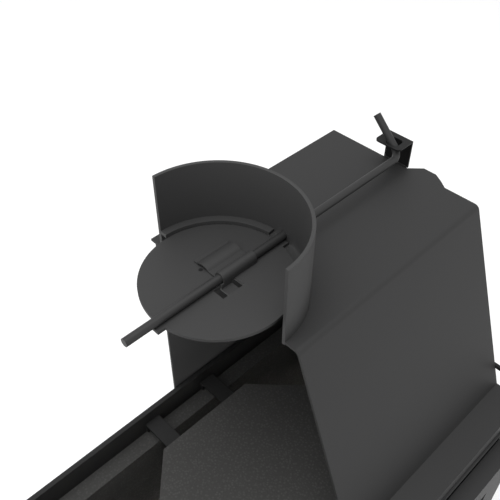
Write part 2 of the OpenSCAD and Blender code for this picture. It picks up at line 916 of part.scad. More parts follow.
module rope_seal() {
  seal_outer = door_half - seal_inset;
  seal_inner = seal_outer - seal_width;
  seal_length = seal_channel + door_gap - running_gap;
  color("#6b6a66")
    difference() {
      block([-seal_outer, -door_rear - seal_channel, door_bottom + seal_inset],
        [seal_outer * 2, seal_length, door_height - seal_inset * 2]);
      block([-seal_inner, -door_rear - seal_channel * 2, door_bottom + seal_inset + seal_width],
        [seal_inner * 2, seal_channel * 4, door_height - seal_inset * 2 - seal_width * 2]);
    }
}

// Clip that holds the glass against the door's lip.
module glass_clip(x_side, z_side) {
  x_mid = x_side * window_half / 2;
  z_low = z_side > 0 ? window_top + rebate - clip_width : window_bottom - rebate;
  block([x_mid - clip_length / 2, glass - glass_front, z_low], [clip_length, clip_sheet, clip_width]);
}

module glass_clip_top_left() {
  color("#4c4e50")
    glass_clip(-1, 1);
}

module glass_clip_top_right() {
  color("#4c4e50")
    glass_clip(1, 1);
}

module glass_clip_bottom_left() {
  color("#4c4e50")
    glass_clip(-1, -1);
}

module glass_clip_bottom_right() {
  color("#4c4e50")
    glass_clip(1, -1);
}

// Hinge block on the firebox face, from its lower face.
module hinge_block(bottom) {
  difference() {
    block([pin_x - hinge_width / 2, -flue_to_front - pin_forward * 2, bottom],
      [hinge_width, pin_forward * 2, hinge_height]);
    translate([pin_x, pin_y, bottom - hinge_height])
      cylinder(r = pin_diameter / 2 + weld_gap, h = hinge_height * 3);
  }
}

module hinge_block_top() {
  color("#303234")
    hinge_block(door_top + running_gap);
}

module hinge_block_bottom() {
  color("#303234")
    hinge_block(door_bottom - running_gap - hinge_height);
}

module hinge_pin_top() {
  color("#5a5c5f")
    translate([pin_x, pin_y, door_top - pin_depth + running_gap])
      cylinder(d = pin_diameter, h = pin_depth + hinge_height);
}

module hinge_pin_bottom() {
  color("#5a5c5f")
    translate([pin_x, pin_y, door_bottom - running_gap - hinge_height])
      cylinder(d = pin_diameter, h = pin_depth + hinge_height);
}

module door_handle() {
  grip_y = -door_front - handle_stand;
  color("#1f2022")
    difference() {
      union() {
        translate([spindle_offset, grip_y, spindle_z - grip_length])
          cylinder(d = grip_diameter, h = grip_length + grip_diameter);
        rod_front(spindle_offset, -door_front - running_gap, spindle_z, grip_diameter / 2, handle_stand);
      }
      rod_front(spindle_offset, -door_rear, spindle_z, spindle_diameter / 2 + weld_gap,
        door_thickness + handle_stand / 2);
    }
}

module handle_spindle() {
  color("#5a5c5f")
    rod_front(spindle_offset, running_gap + latch_sheet - inner_front, spindle_z, spindle_diameter / 2,
      door_front - inner_front + running_gap + latch_sheet + handle_stand / 2 - door_gap);
}

module door_latch() {
  color("#4c4e50")
    difference() {
      block([spindle_offset - latch_width / 2, running_gap - inner_front, spindle_z - latch_width / 2],
        [latch_width, latch_sheet, latch_length + latch_width / 2]);
      rod_front(spindle_offset, latch_sheet * 2 - inner_front, spindle_z,
        spindle_diameter / 2 + weld_gap, latch_sheet * 3);
    }
}

module ash_pan() {
  front_y = -frame_front - running_gap;
  color("#34363a") {
    difference() {
      block([-pan_half, front_y, pan_bottom], [pan_half * 2, pan_length, pan_height]);
      block([pan_wall - pan_half, front_y + pan_wall, pan_bottom + pan_wall],
        [pan_half * 2 - pan_wall * 2, pan_length - pan_wall * 2, pan_height]);
    }
    block([-pan_opening - pan_overlap, front_y - pan_front, foot_height + running_gap],
      [(pan_opening + pan_overlap) * 2, pan_front, pan_top + pan_overlap - foot_height]);
  }
}

module pan_pull() {
  color("#1f2022")
    rod_front(0, -frame_front - running_gap - pan_front, (pan_bottom + pan_top) / 2,
      pull_diameter / 2, pull_length);
}

module air_slider() {
  plate_y = running_gap - inner_front;
  color("#4c4e50") {
    block([air_offset - air_plate_length / 2, plate_y, air_height - air_plate / 2],
      [air_plate_length, air_sheet, air_plate]);
    rod_front(air_offset, plate_y, air_height, air_stem / 2, frame_front - inner_front + running_gap * 2 + air_knob_length / 2);
  }
}

module air_knob() {
  knob_start = -frame_front - running_gap;
  color("#1f2022")
    difference() {
      rod_front(air_offset, knob_start, air_height, air_knob / 2, air_knob_length);
      rod_front(air_offset, knob_start + running_gap, air_height, air_stem / 2 + weld_gap,
        air_knob_length / 2 + running_gap);
    }
}

module air_rails() {
  rail_start = air_offset - air_plate_length / 2;
  rail_length = air_plate_length + air_travel;
  rail_depth = air_sheet + running_gap * 2;
  rail_rise = air_plate / 2 + running_gap;
  color("#303234") {
    block([rail_start, -inner_front, air_height + rail_rise], [rail_length, rail_depth, rail_width]);
    block([rail_start, rail_depth - inner_front, air_height + rail_rise - rail_width / 2],
      [rail_length, air_sheet, rail_width * 1.5]);
    block([rail_start, -inner_front, air_height - rail_rise - rail_width], [rail_length, rail_depth, rail_width]);
    block([rail_start, rail_depth - inner_front, air_height - rail_rise - rail_width],
      [rail_length, air_sheet, rail_width * 1.5]);
  }
}

module air_spigot() {
  color("#6f7274")
    translate([0, flue_to_rear + spigot_length, spigot_z])
      rotate([90, 0, 0])
        difference() {
          cylinder(d = spigot_diameter, h = spigot_length, $fn = 96);
          translate([0, 0, -spigot_wall])
            cylinder(r = spigot_diameter / 2 - spigot_wall, h = spigot_length + spigot_wall * 2, $fn = 96);
        }
}

// Adjustable foot at a point on the underside.
module foot(x, y) {
  translate([x, y, 0]) {
    cylinder(d1 = pad_diameter, d2 = pad_diameter - pad_thickness, h = pad_thickness);
    cylinder(d = screw_diameter, h = foot_height);
  }
}

module foot_front_left() {
  color("#202123")
    foot(-foot_x, -foot_front);
}

module foot_front_right() {
  color("#202123")
    foot(foot_x, -foot_front);
}

module foot_rear_left() {
  color("#202123")
    foot(-foot_x, foot_back);
}

module foot_rear_right() {
  color("#202123")
    foot(foot_x, foot_back);
}

firebox_shell();
hood_sheet();
hood_rear_wall();
hood_side_wall();
flue_collar();
damper_seat();
damper_disc();
damper_clamp();
disc_rivet();
damper_shaft();
control_slide();
control_knob();
bar_guide_front();
bar_guide_rear();
hearth_tray();
hearth_slab();
rear_liner();
rear_board();
left_board();
right_board();
fire_grate();
log_retainer();
baffle_plate();
baffle_rest_rear_left();
baffle_rest_rear_right();
baffle_rest_left();
baffle_rest_right();
front_frame();
door_frame();
door_glass();
rope_seal();
glass_clip_top_left();
glass_clip_top_right();
glass_clip_bottom_left();
glass_clip_bottom_right();
hinge_block_top();
hinge_block_bottom();
hinge_pin_top();
hinge_pin_bottom();
door_handle();
handle_spindle();
door_latch();
ash_pan();
pan_pull();
air_slider();
air_knob();
air_rails();
air_spigot();
foot_front_left();
foot_front_right();
foot_rear_left();
foot_rear_right();
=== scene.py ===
"""Dresses the fireplace insert: finishes, weld seams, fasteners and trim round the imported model."""

import logging
import math
from dataclasses import dataclass
from enum import Enum
from typing import ClassVar

import bmesh
import bpy
from mathutils import Matrix, Vector


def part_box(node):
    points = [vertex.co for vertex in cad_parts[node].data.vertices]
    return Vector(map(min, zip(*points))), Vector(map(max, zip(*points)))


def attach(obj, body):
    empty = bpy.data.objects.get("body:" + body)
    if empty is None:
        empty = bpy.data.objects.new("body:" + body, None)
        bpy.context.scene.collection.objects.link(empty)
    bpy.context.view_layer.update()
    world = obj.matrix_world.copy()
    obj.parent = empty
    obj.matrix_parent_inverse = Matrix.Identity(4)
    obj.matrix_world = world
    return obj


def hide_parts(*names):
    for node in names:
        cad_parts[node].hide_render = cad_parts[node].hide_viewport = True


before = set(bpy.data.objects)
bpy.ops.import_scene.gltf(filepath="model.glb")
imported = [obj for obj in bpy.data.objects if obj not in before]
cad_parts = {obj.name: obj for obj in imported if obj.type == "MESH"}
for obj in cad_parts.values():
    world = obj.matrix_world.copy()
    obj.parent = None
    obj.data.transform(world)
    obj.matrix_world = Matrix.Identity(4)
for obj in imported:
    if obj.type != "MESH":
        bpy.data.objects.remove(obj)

LOG = logging.getLogger("fireplace_insert")
MM = 0.001
ROOT_BODY = "insert"
NODE_SPACING = 180
MIX_COLOUR_INPUTS = (6, 7)
MIX_COLOUR_OUTPUT = 2
NOISE_MEAN = 0.5
BEVEL_SAMPLES = 6
SMOOTH_BELOW_DEG = 35
MERGE_DISTANCE = 1e-7
LEAST_CROSS = 1e-4
# How round an edge is to the wear mask, and the bends of its normal where wear starts and is full
WEAR_RADIUS = 0.9 * MM
WEAR_BENDS = (0.03, 0.25)
CHIP_LEVELS = (0.35, 0.65)
# How far up or down the soot's edge wanders, in metres
SOOT_WANDER = 0.16
SOOT_COLOUR = (0.008, 0.008, 0.008, 1)
# Radius and length along a turned knob, as shares of its own
KNOB_SHARES = ((0.60, 0.0), (0.66, 0.02), (0.66, 0.14), (0.72, 0.20), (0.86, 0.30), (0.95, 0.40),
               (0.99, 0.50), (1.00, 0.58), (0.99, 0.68), (0.95, 0.78), (0.87, 0.87), (0.74, 0.94),
               (0.55, 0.98), (0.30, 1.0))
# Radius and height down the socket of a domed head, and up a chamfered hexagon
SOCKET_SHARES = ((0.38, 0.97), (0.36, 0.35))
HEXAGON_SHARES = ((1.0, 0.0), (1.0, 0.86), (0.9, 1.0))
FRONT = Vector((0, -1, 0))
REAR = Vector((0, 1, 0))
UP = Vector((0, 0, 1))
Rgb = tuple[float, float, float]
Point = tuple[float, float, float]


class Metal(Enum):
    """How much of a finish is bare metal."""

    PAINTED = 0.0
    BARE = 0.9


class Drive(Enum):
    """Shape of a fastener's head."""

    DOME = "dome"
    HEX = "hex"


class NodeSheet:
    """Small helper that adds and links shader nodes in one tree."""

    def __init__(self, tree: bpy.types.NodeTree) -> None:
        """Keeps the tree and clears it.

        Args:
            tree: The node tree to fill.
        """
        self.tree = tree
        tree.nodes.clear()
        self.column = 0

    def add(self, kind: str, **settings: object) -> bpy.types.Node:
        """Adds one node and sets its properties or unlinked inputs.

        Args:
            kind: The node's type name.
            **settings: Properties, or inputs by name with spaces as underscores.

        Returns:
            The new node.
        """
        node = self.tree.nodes.new(kind)
        node.location = (self.column * NODE_SPACING, 0)
        self.column += 1
        for name, value in settings.items():
            if hasattr(node, name):
                setattr(node, name, value)
            else:
                node.inputs[name.replace("_", " ")].default_value = value
        return node

    def link(self, source: bpy.types.NodeSocket, target: bpy.types.NodeSocket) -> None:
        """Links two sockets."""
        self.tree.links.new(source, target)

    def feed(self, value: object, target: bpy.types.NodeSocket) -> None:
        """Links a socket, or sets a number or a colour.

        Args:
            value: A socket, a number or a colour.
            target: The input that takes it.
        """
        if isinstance(value, bpy.types.NodeSocket):
            self.link(value, target)
        else:
            target.default_value = value

    def maths(self, operation: str, first: object, second: object,
              clamp: bool = False) -> bpy.types.NodeSocket:
        """Adds a Math node.

        Args:
            operation: The node's operation.
            first: A socket or a number.
            second: A socket or a number.
            clamp: Whether the result stays between 0 and 1.

        Returns:
            The result socket.
        """
        node = self.add("ShaderNodeMath", operation=operation, use_clamp=clamp)
        self.feed(first, node.inputs[0])
        self.feed(second, node.inputs[1])
        return node.outputs[0]

    def mix(self, factor: bpy.types.NodeSocket, first: object, second: object) -> bpy.types.NodeSocket:
        """Adds a colour Mix node.

        Args:
            factor: The mask that picks the second colour.
            first: A socket or a colour.
            second: A socket or a colour.

        Returns:
            The result socket.
        """
        node = self.add("ShaderNodeMix", data_type="RGBA")
        self.link(factor, node.inputs[0])
        for slot, value in zip(MIX_COLOUR_INPUTS, (first, second)):
            self.feed(value, node.inputs[slot])
        return node.outputs[MIX_COLOUR_OUTPUT]

    def ramp(self, value: bpy.types.NodeSocket, low: object, high: object) -> bpy.types.NodeSocket:
        """Maps a stretch of a value to 0 to 1.

        Args:
            value: The value to map.
            low: The socket or number that becomes 0.
            high: The socket or number that becomes 1.

        Returns:
            The mapped socket.
        """
        node = self.add("ShaderNodeMapRange", clamp=True)
        for label, given in (("Value", value), ("From Min", low), ("From Max", high)):
            self.feed(given, node.inputs[label])
        return node.outputs["Result"]


class EffectGroup:
    """A shared surface effect: a shader node group with named sockets."""

    def __init__(self, name: str, inputs: dict[str, tuple[str, object]],
                 outputs: dict[str, str]) -> None:
        """Makes the group and its sockets.

        Args:
            name: The group's name.
            inputs: Socket name to its type and default.
            outputs: Socket name to its type.
        """
        self.tree = bpy.data.node_groups.new(name, "ShaderNodeTree")
        for label, (kind, default) in inputs.items():
            socket = self.tree.interface.new_socket(label, in_out="INPUT", socket_type=kind)
            if default is not None:
                socket.default_value = default
        for label, kind in outputs.items():
            self.tree.interface.new_socket(label, in_out="OUTPUT", socket_type=kind)
        self.sheet = NodeSheet(self.tree)
        self.source = self.sheet.add("NodeGroupInput")
        self.sink = self.sheet.add("NodeGroupOutput")

    def place(self, sheet: NodeSheet, **values: object) -> bpy.types.Node:
        """Places the group in a material.

        Args:
            sheet: The material's node helper.
            **values: Input values or sockets, with spaces as underscores.

        Returns:
            The group node.
        """
        node = sheet.add("ShaderNodeGroup", node_tree=self.tree)
        for name, value in values.items():
            sheet.feed(value, node.inputs[name.replace("_", " ")])
        return node


def grain_group() -> EffectGroup:
    """Paint or casting grain: a mottled colour, an uneven roughness and a fine height.

    Returns:
        The shared group.
    """
    group = EffectGroup(
        "surface_grain",
        {"Vector": ("NodeSocketVector", None), "Colour": ("NodeSocketColor", (0.1, 0.1, 0.1, 1)),
         "Mottle": ("NodeSocketFloat", 0.1), "Grain Scale": ("NodeSocketFloat", 900.0),
         "Roughness": ("NodeSocketFloat", 0.5), "Roughness Spread": ("NodeSocketFloat", 0.1)},
        {"Colour": "NodeSocketColor", "Roughness": "NodeSocketFloat", "Height": "NodeSocketFloat"})
    sheet, given = group.sheet, group.source.outputs
    broad = sheet.add("ShaderNodeTexNoise", Scale=7.0, Detail=4.0, Roughness=0.55)
    sheet.link(given["Vector"], broad.inputs["Vector"])
    fine = sheet.add("ShaderNodeTexNoise", Detail=3.0, Roughness=0.6)
    sheet.link(given["Vector"], fine.inputs["Vector"])
    sheet.link(given["Grain Scale"], fine.inputs["Scale"])
    cloud = sheet.maths("SUBTRACT", broad.outputs["Fac"], NOISE_MEAN)
    speck = sheet.maths("SUBTRACT", fine.outputs["Fac"], NOISE_MEAN)
    swing = sheet.maths("MULTIPLY", sheet.maths("ADD", cloud, speck), given["Mottle"])
    bright = sheet.maths("ADD", sheet.maths("MULTIPLY", swing, 2.0), 1.0)
    shade = sheet.add("ShaderNodeVectorMath", operation="SCALE")
    sheet.link(given["Colour"], shade.inputs[0])
    sheet.link(bright, shade.inputs["Scale"])
    sheet.link(shade.outputs[0], group.sink.inputs["Colour"])
    rough = sheet.maths("MULTIPLY", cloud, given["Roughness Spread"])
    sheet.link(sheet.maths("ADD", rough, given["Roughness"], clamp=True), group.sink.inputs["Roughness"])
    sheet.link(fine.outputs["Fac"], group.sink.inputs["Height"])
    return group


def wear_group() -> EffectGroup:
    """Edge wear: a mask that is 1 on rubbed edges, broken up by noise.

    Returns:
        The shared group.
    """
    group = EffectGroup(
        "edge_wear",
        {"Vector": ("NodeSocketVector", None), "Amount": ("NodeSocketFloat", 0.5)},
        {"Mask": "NodeSocketFloat"})
    sheet, given = group.sheet, group.source.outputs
    flat = sheet.add("ShaderNodeNewGeometry").outputs["Normal"]
    rounded = sheet.add("ShaderNodeBevel", samples=BEVEL_SAMPLES, Radius=WEAR_RADIUS)
    turned = sheet.add("ShaderNodeVectorMath", operation="DOT_PRODUCT")
    sheet.link(flat, turned.inputs[0])
    sheet.link(rounded.outputs["Normal"], turned.inputs[1])
    ridge = sheet.ramp(sheet.maths("SUBTRACT", 1.0, turned.outputs["Value"]), *WEAR_BENDS)
    broken = sheet.add("ShaderNodeTexNoise", Scale=160.0, Detail=4.0)
    sheet.link(given["Vector"], broken.inputs["Vector"])
    chips = sheet.ramp(broken.outputs["Fac"], *CHIP_LEVELS)
    mask = sheet.maths("MULTIPLY", ridge, chips)
    sheet.link(sheet.maths("MULTIPLY", mask, given["Amount"], clamp=True), group.sink.inputs["Mask"])
    return group


def soot_group() -> EffectGroup:
    """Soot: a mask that darkens what lies low inside the fire chamber, with soft patches.

    Returns:
        The shared group.
    """
    group = EffectGroup(
        "soot_film",
        {"Vector": ("NodeSocketVector", None), "Clear Height": ("NodeSocketFloat", 0.5),
         "Black Height": ("NodeSocketFloat", 0.4), "Amount": ("NodeSocketFloat", 0.8)},
        {"Mask": "NodeSocketFloat"})
    sheet, given = group.sheet, group.source.outputs
    place = sheet.add("ShaderNodeSeparateXYZ")
    sheet.link(given["Vector"], place.inputs[0])
    patches = sheet.add("ShaderNodeTexNoise", Scale=9.0, Detail=5.0, Roughness=0.6)
    sheet.link(given["Vector"], patches.inputs["Vector"])
    drift = sheet.maths("SUBTRACT", patches.outputs["Fac"], NOISE_MEAN)
    height = sheet.maths("ADD", place.outputs["Z"], sheet.maths("MULTIPLY", drift, SOOT_WANDER))
    fade = sheet.ramp(height, given["Clear Height"], given["Black Height"])
    mask = sheet.maths("MULTIPLY", fade, given["Amount"], clamp=True)
    sheet.link(mask, group.sink.inputs["Mask"])
    return group


class Effects:
    """The shared effect groups, each built once."""

    def __init__(self) -> None:
        """Builds the groups."""
        self.grain = grain_group()
        self.wear = wear_group()
        self.soot = soot_group()


class MaterialSheet(NodeSheet):
    """The nodes of one material, from its object coordinates to its Principled shader."""

    def __init__(self, name: str) -> None:
        """Makes the material.

        Args:
            name: The material's name.
        """
        self.material = bpy.data.materials.new(name)
        self.material.use_nodes = True
        super().__init__(self.material.node_tree)
        self.place = self.add("ShaderNodeTexCoord").outputs["Object"]
        self.shader = self.add("ShaderNodeBsdfPrincipled")
        out = self.add("ShaderNodeOutputMaterial")
        self.link(self.shader.outputs["BSDF"], out.inputs["Surface"])

    def fix(self, **constants: float) -> None:
        """Sets constants on the shader's own sockets.

        Args:
            **constants: Values by socket name, with spaces as underscores.
        """
        for name, value in constants.items():
            self.shader.inputs[name.replace("_", " ")].default_value = value

    def cover(self, colour: bpy.types.NodeSocket, roughness: bpy.types.NodeSocket) -> None:
        """Gives the shader its colour and roughness."""
        self.link(colour, self.shader.inputs["Base Color"])
        self.link(roughness, self.shader.inputs["Roughness"])

    def relief(self, height: bpy.types.NodeSocket, strength: float,
               depth_mm: float) -> bpy.types.NodeSocket:
        """Adds a Bump node.

        Args:
            height: The height over the surface.
            strength: How much of the bump shows.
            depth_mm: How deep the relief is.

        Returns:
            The bumped normal.
        """
        bump = self.add("ShaderNodeBump", Strength=strength, Distance=depth_mm * MM)
        self.link(height, bump.inputs["Height"])
        return bump.outputs["Normal"]


@dataclass(frozen=True)
class MetalFinish:
    """A dark metal finish: stove paint, satin steel or cast iron."""

    name: str
    colour: Rgb
    roughness: float
    metal: Metal = Metal.PAINTED
    specular: float = 0.35
    mottle: float = 0.015
    spread: float = 0.03
    grain_scale: float = 1400.0
    bump_mm: float = 0.02
    bump_strength: float = 0.5
    wear: float = 0.3
    worn_colour: Rgb = (0.09, 0.09, 0.091)
    edge_mm: float = 0.5
    # Colour for faces that look to the front, such as the inside of a wall: painted light, not the
    # paint's own colour
    inside_painted_light: Rgb | None = None
    soot: float = 0.0
    soot_clear: float = 0.52
    soot_black: float = 0.46

    def build(self, effects: Effects) -> bpy.types.Material:
        """Builds the material.

        Args:
            effects: The shared effect groups.

        Returns:
            The material.
        """
        sheet = MaterialSheet(self.name)
        grain = effects.grain.place(sheet, Vector=sheet.place, Colour=(*self.colour, 1),
                                    Mottle=self.mottle, Grain_Scale=self.grain_scale,
                                    Roughness=self.roughness, Roughness_Spread=self.spread)
        wear = effects.wear.place(sheet, Vector=sheet.place, Amount=self.wear)
        colour = sheet.mix(wear.outputs["Mask"], grain.outputs["Colour"], (*self.worn_colour, 1))
        # Faces that look to the front get the lighter colour: painted light on the inside of a wall
        if self.inside_painted_light is not None:
            way = sheet.add("ShaderNodeSeparateXYZ")
            sheet.link(sheet.add("ShaderNodeTexCoord").outputs["Normal"], way.inputs[0])
            inside = sheet.maths("MULTIPLY", way.outputs["Y"], -1.0, clamp=True)
            colour = sheet.mix(inside, colour, (*self.inside_painted_light, 1))
        if self.soot > 0:
            soot = effects.soot.place(sheet, Vector=sheet.place, Clear_Height=self.soot_clear,
                                      Black_Height=self.soot_black, Amount=self.soot)
            colour = sheet.mix(soot.outputs["Mask"], colour, SOOT_COLOUR)
        sheet.fix(Metallic=self.metal.value, Specular_IOR_Level=self.specular)
        sheet.cover(colour, grain.outputs["Roughness"])
        edge = sheet.add("ShaderNodeBevel", samples=BEVEL_SAMPLES, Radius=self.edge_mm * MM)
        sheet.link(sheet.relief(grain.outputs["Height"], self.bump_strength, self.bump_mm),
                   edge.inputs["Normal"])
        sheet.link(edge.outputs["Normal"], sheet.shader.inputs["Normal"])
        return sheet.material


@dataclass(frozen=True)
class BoardFinish:
    """Refractory board: buff vermiculite flakes, smoked near the fire."""

    name: str = "refractory_board"
    binder: Rgb = (0.20, 0.197, 0.188)
    flake: Rgb = (0.30, 0.296, 0.283)
    char: Rgb = (0.024, 0.024, 0.024)
    flake_scale: float = 260.0
    flake_edges: tuple[float, float] = (0.15, 0.5)
    flake_relief: float = 0.6
    specular: float = 0.2
    bump_mm: float = 0.3
    bump_strength: float = 0.7
    soot: float = 0.85
    soot_clear: float = 0.14
    soot_black: float = 0.40

    def build(self, effects: Effects) -> bpy.types.Material:
        """Builds the material.

        Args:
            effects: The shared effect groups.

        Returns:
            The material.
        """
        sheet = MaterialSheet(self.name)
        flakes = sheet.add("ShaderNodeTexVoronoi", Scale=self.flake_scale, Randomness=1.0)
        sheet.link(sheet.place, flakes.inputs["Vector"])
        chosen = sheet.ramp(flakes.outputs["Distance"], *self.flake_edges)
        body = sheet.mix(chosen, (*self.flake, 1), (*self.binder, 1))
        grain = effects.grain.place(sheet, Vector=sheet.place, Colour=body, Mottle=0.25,
                                    Grain_Scale=420.0, Roughness=0.9, Roughness_Spread=0.1)
        smoke = effects.soot.place(sheet, Vector=sheet.place, Clear_Height=self.soot_clear,
                                   Black_Height=self.soot_black, Amount=self.soot)
        colour = sheet.mix(smoke.outputs["Mask"], grain.outputs["Colour"], (*self.char, 1))
        sheet.fix(Specular_IOR_Level=self.specular)
        sheet.cover(colour, grain.outputs["Roughness"])
        height = sheet.maths("ADD", grain.outputs["Height"],
                             sheet.maths("MULTIPLY", chosen, self.flake_relief))
        sheet.link(sheet.relief(height, self.bump_strength, self.bump_mm),
                   sheet.shader.inputs["Normal"])
        return sheet.material


@dataclass(frozen=True)
class GlassFinish:
    """Ceramic glass with a faint smoke haze."""

    name: str = "ceramic_glass"
    tint: Rgb = (0.83, 0.80, 0.74)
    haze: float = 0.07
    haze_spread: float = 0.06
    refraction: float = 1.5

    def build(self, effects: Effects) -> bpy.types.Material:
        """Builds the material.

        Args:
            effects: The shared effect groups.

        Returns:
            The material.
        """
        sheet = MaterialSheet(self.name)
        grain = effects.grain.place(sheet, Vector=sheet.place, Colour=(*self.tint, 1), Mottle=0.05,
                                    Grain_Scale=60.0, Roughness=self.haze,
                                    Roughness_Spread=self.haze_spread)
        sheet.fix(Metallic=0.0, Transmission_Weight=1.0, IOR=self.refraction)
        sheet.cover(grain.outputs["Colour"], grain.outputs["Roughness"])
        return sheet.material


@dataclass(frozen=True)
class RopeFinish:
    """Knitted glass rope."""

    name: str = "glass_rope"
    yarn: Rgb = (0.12, 0.12, 0.118)
    gap: Rgb = (0.03, 0.03, 0.03)
    stitch: float = 620.0
    sheen: float = 0.2
    bump_mm: float = 0.4
    bump_strength: float = 0.8

    def build(self, effects: Effects) -> bpy.types.Material:
        """Builds the material.

        Args:
            effects: The shared effect groups.

        Returns:
            The material.
        """
        sheet = MaterialSheet(self.name)
        knit = sheet.add("ShaderNodeTexWave", wave_type="BANDS", bands_direction="DIAGONAL",
                         Scale=self.stitch, Distortion=2.0, Detail=2.0)
        sheet.link(sheet.place, knit.inputs["Vector"])
        wool = sheet.mix(knit.outputs["Fac"], (*self.gap, 1), (*self.yarn, 1))
        grain = effects.grain.place(sheet, Vector=sheet.place, Colour=wool, Mottle=0.3,
                                    Grain_Scale=1800.0, Roughness=0.9, Roughness_Spread=0.1)
        sheet.fix(Sheen_Weight=self.sheen)
        sheet.cover(grain.outputs["Colour"], grain.outputs["Roughness"])
        sheet.link(sheet.relief(knit.outputs["Fac"], self.bump_strength, self.bump_mm),
                   sheet.shader.inputs["Normal"])
        return sheet.material


class Finishes:
    """Every finish of the insert, built once."""

    def __init__(self, effects: Effects) -> None:
        """Builds the materials.

        Args:
            effects: The shared effect groups.
        """
        self.hood_paint = MetalFinish("hood_paint", (0.0255, 0.0255, 0.0257), 0.62).build(effects)
        # Body paint whose faces looking to the front are painted lighter: painted light on the rear
        # wall's inside
        self.wall_paint_painted_light = MetalFinish("wall_paint_painted_light", (0.0290, 0.0290, 0.0293), 0.62,
                                      inside_painted_light=(0.105, 0.105, 0.1055)).build(effects)
        self.body_paint = MetalFinish("body_paint", (0.0290, 0.0290, 0.0293), 0.6).build(effects)
        self.collar_steel = MetalFinish("collar_steel", (0.0400, 0.0400, 0.0402), 0.6).build(effects)
        self.damper_steel = MetalFinish("damper_steel", (0.0325, 0.0325, 0.0327), 0.58).build(effects)
        self.shaft_steel = MetalFinish("shaft_steel", (0.0260, 0.0260, 0.0262), 0.5,
                                       wear=0.1).build(effects)
        self.slide_steel = MetalFinish("slide_steel", (0.0080, 0.0080, 0.0082), 0.55, specular=0.25,
                                       wear=0.15).build(effects)
        self.liner_steel = MetalFinish("liner_steel", (0.014, 0.014, 0.0142), 0.7, mottle=0.05,
                                       soot=0.6).build(effects)
        self.cast_iron = MetalFinish("cast_iron", (0.024, 0.024, 0.0245), 0.6, grain_scale=700.0,
                                     bump_mm=0.12, mottle=0.08, spread=0.1).build(effects)
        self.grate_iron = MetalFinish("grate_iron", (0.030, 0.0295, 0.029), 0.7, grain_scale=600.0,
                                      bump_mm=0.15, mottle=0.15, spread=0.1).build(effects)
        self.bright_steel = MetalFinish("bright_steel", (0.36, 0.36, 0.365), 0.35, metal=Metal.BARE,
                                        mottle=0.05, bump_mm=0.01, wear=0.1).build(effects)
        self.galvanised = MetalFinish("galvanised", (0.42, 0.43, 0.44), 0.42, metal=Metal.BARE,
                                      mottle=0.16, grain_scale=90.0, bump_mm=0.01).build(effects)
        self.handle_black = MetalFinish("handle_black", (0.014, 0.014, 0.0145), 0.4, specular=0.5,
                                        bump_mm=0.01).build(effects)
        self.board = BoardFinish().build(effects)
        self.glass = GlassFinish().build(effects)
        self.rope = RopeFinish().build(effects)


class MeshKit:
    """Builds small meshes in the row frame."""

    @staticmethod
    def make(name: str, mesh: bmesh.types.BMesh, material: bpy.types.Material, body: str,
             slot: str) -> bpy.types.Object:
        """Turns a bmesh into a piece that rides on a body, smooth where it bends little.

        Args:
            name: The piece's name.
            mesh: The bmesh, which is freed.
            material: Its finish.
            body: The body that it rides on.
            slot: The record's material slot; not used.

        Returns:
            The piece.
        """
        data = bpy.data.meshes.new(name)
        bmesh.ops.remove_doubles(mesh, verts=mesh.verts, dist=MERGE_DISTANCE)
        bmesh.ops.recalc_face_normals(mesh, faces=mesh.faces)
        mesh.to_mesh(data)
        mesh.free()
        piece = bpy.data.objects.new(name, data)
        bpy.context.scene.collection.objects.link(piece)
        data.materials.append(material)
        data.shade_smooth()
        data.set_sharp_from_angle(angle=math.radians(SMOOTH_BELOW_DEG))
        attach(piece, body)
        return piece

    @staticmethod
    def skin(mesh: bmesh.types.BMesh, rings: list[list[bmesh.types.BMVert]],
             closed: bool = False) -> None:
        """Joins rings of points into one skin.

        Args:
            mesh: The bmesh to add to.
            rings: Rings with the same number of points.
            closed: Whether the last ring meets the first; both ends are capped if not.
        """
        pairs = list(zip(rings, rings[1:]))
        if closed:
            pairs.append((rings[-1], rings[0]))
        for lower, upper in pairs:
            for step in range(len(lower)):
                after = (step + 1) % len(lower)
                mesh.faces.new((lower[step], lower[after], upper[after], upper[step]))
        if not closed:
            mesh.faces.new(list(reversed(rings[0])))
            mesh.faces.new(rings[-1])

    @staticmethod
    def lathe(mesh: bmesh.types.BMesh, profile: list[tuple[float, float]], place: Matrix,
              sides: int = 48) -> None:
        """Turns a profile of radius and height round the local Z axis.

        Args:
            mesh: The bmesh to add to.
            profile: Radius and height pairs, ends on the axis or closed off by a cap.
            place: Where the turned shape goes.
            sides: How many sides it has.
        """
        rings = []
        for radius, height in profile:
            ring = []
            for step in range(sides):
                turn = 2 * math.pi * step / sides
                ring.append(mesh.verts.new(place @ Vector((radius * math.cos(turn),
                                                           radius * math.sin(turn), height))))
            rings.append(ring)
        MeshKit.skin(mesh, rings)

    @staticmethod
    def sweep(mesh: bmesh.types.BMesh, path: list[Vector], radii: list[tuple[float, float]],
              sides: int, closed: bool) -> None:
        """Sweeps an oval along a path.

        Args:
            mesh: The bmesh to add to.
            path: The centre points.
            radii: The oval's two radii at each point.
            sides: The oval's sides.
            closed: Whether the path joins its start.
        """
        count = len(path)
        rings = []
        for index, point in enumerate(path):
            before = path[index - 1] if closed or index else path[0]
            after = path[(index + 1) % count] if closed or index < count - 1 else path[-1]
            along = (after - before).normalized()
            side = along.cross(Vector((0, 1, 0)))
            if side.length < LEAST_CROSS:
                side = along.cross(Vector((1, 0, 0)))
            side.normalize()
            up = side.cross(along).normalized()
            wide, tall = radii[index]
            rings.append([mesh.verts.new(point + side * (wide * math.cos(2 * math.pi * step / sides))
                                         + up * (tall * math.sin(2 * math.pi * step / sides)))
                          for step in range(sides)])
        MeshKit.skin(mesh, rings, closed)


def facing(point: Vector, direction: Vector) -> Matrix:
    """Placement with its local Z axis along a direction.

    Args:
        point: Where it stands.
        direction: Where its Z axis points.

    Returns:
        The placement.
    """
    turn = direction.to_track_quat("Z", "Y").to_matrix().to_4x4()
    return Matrix.Translation(point) @ turn


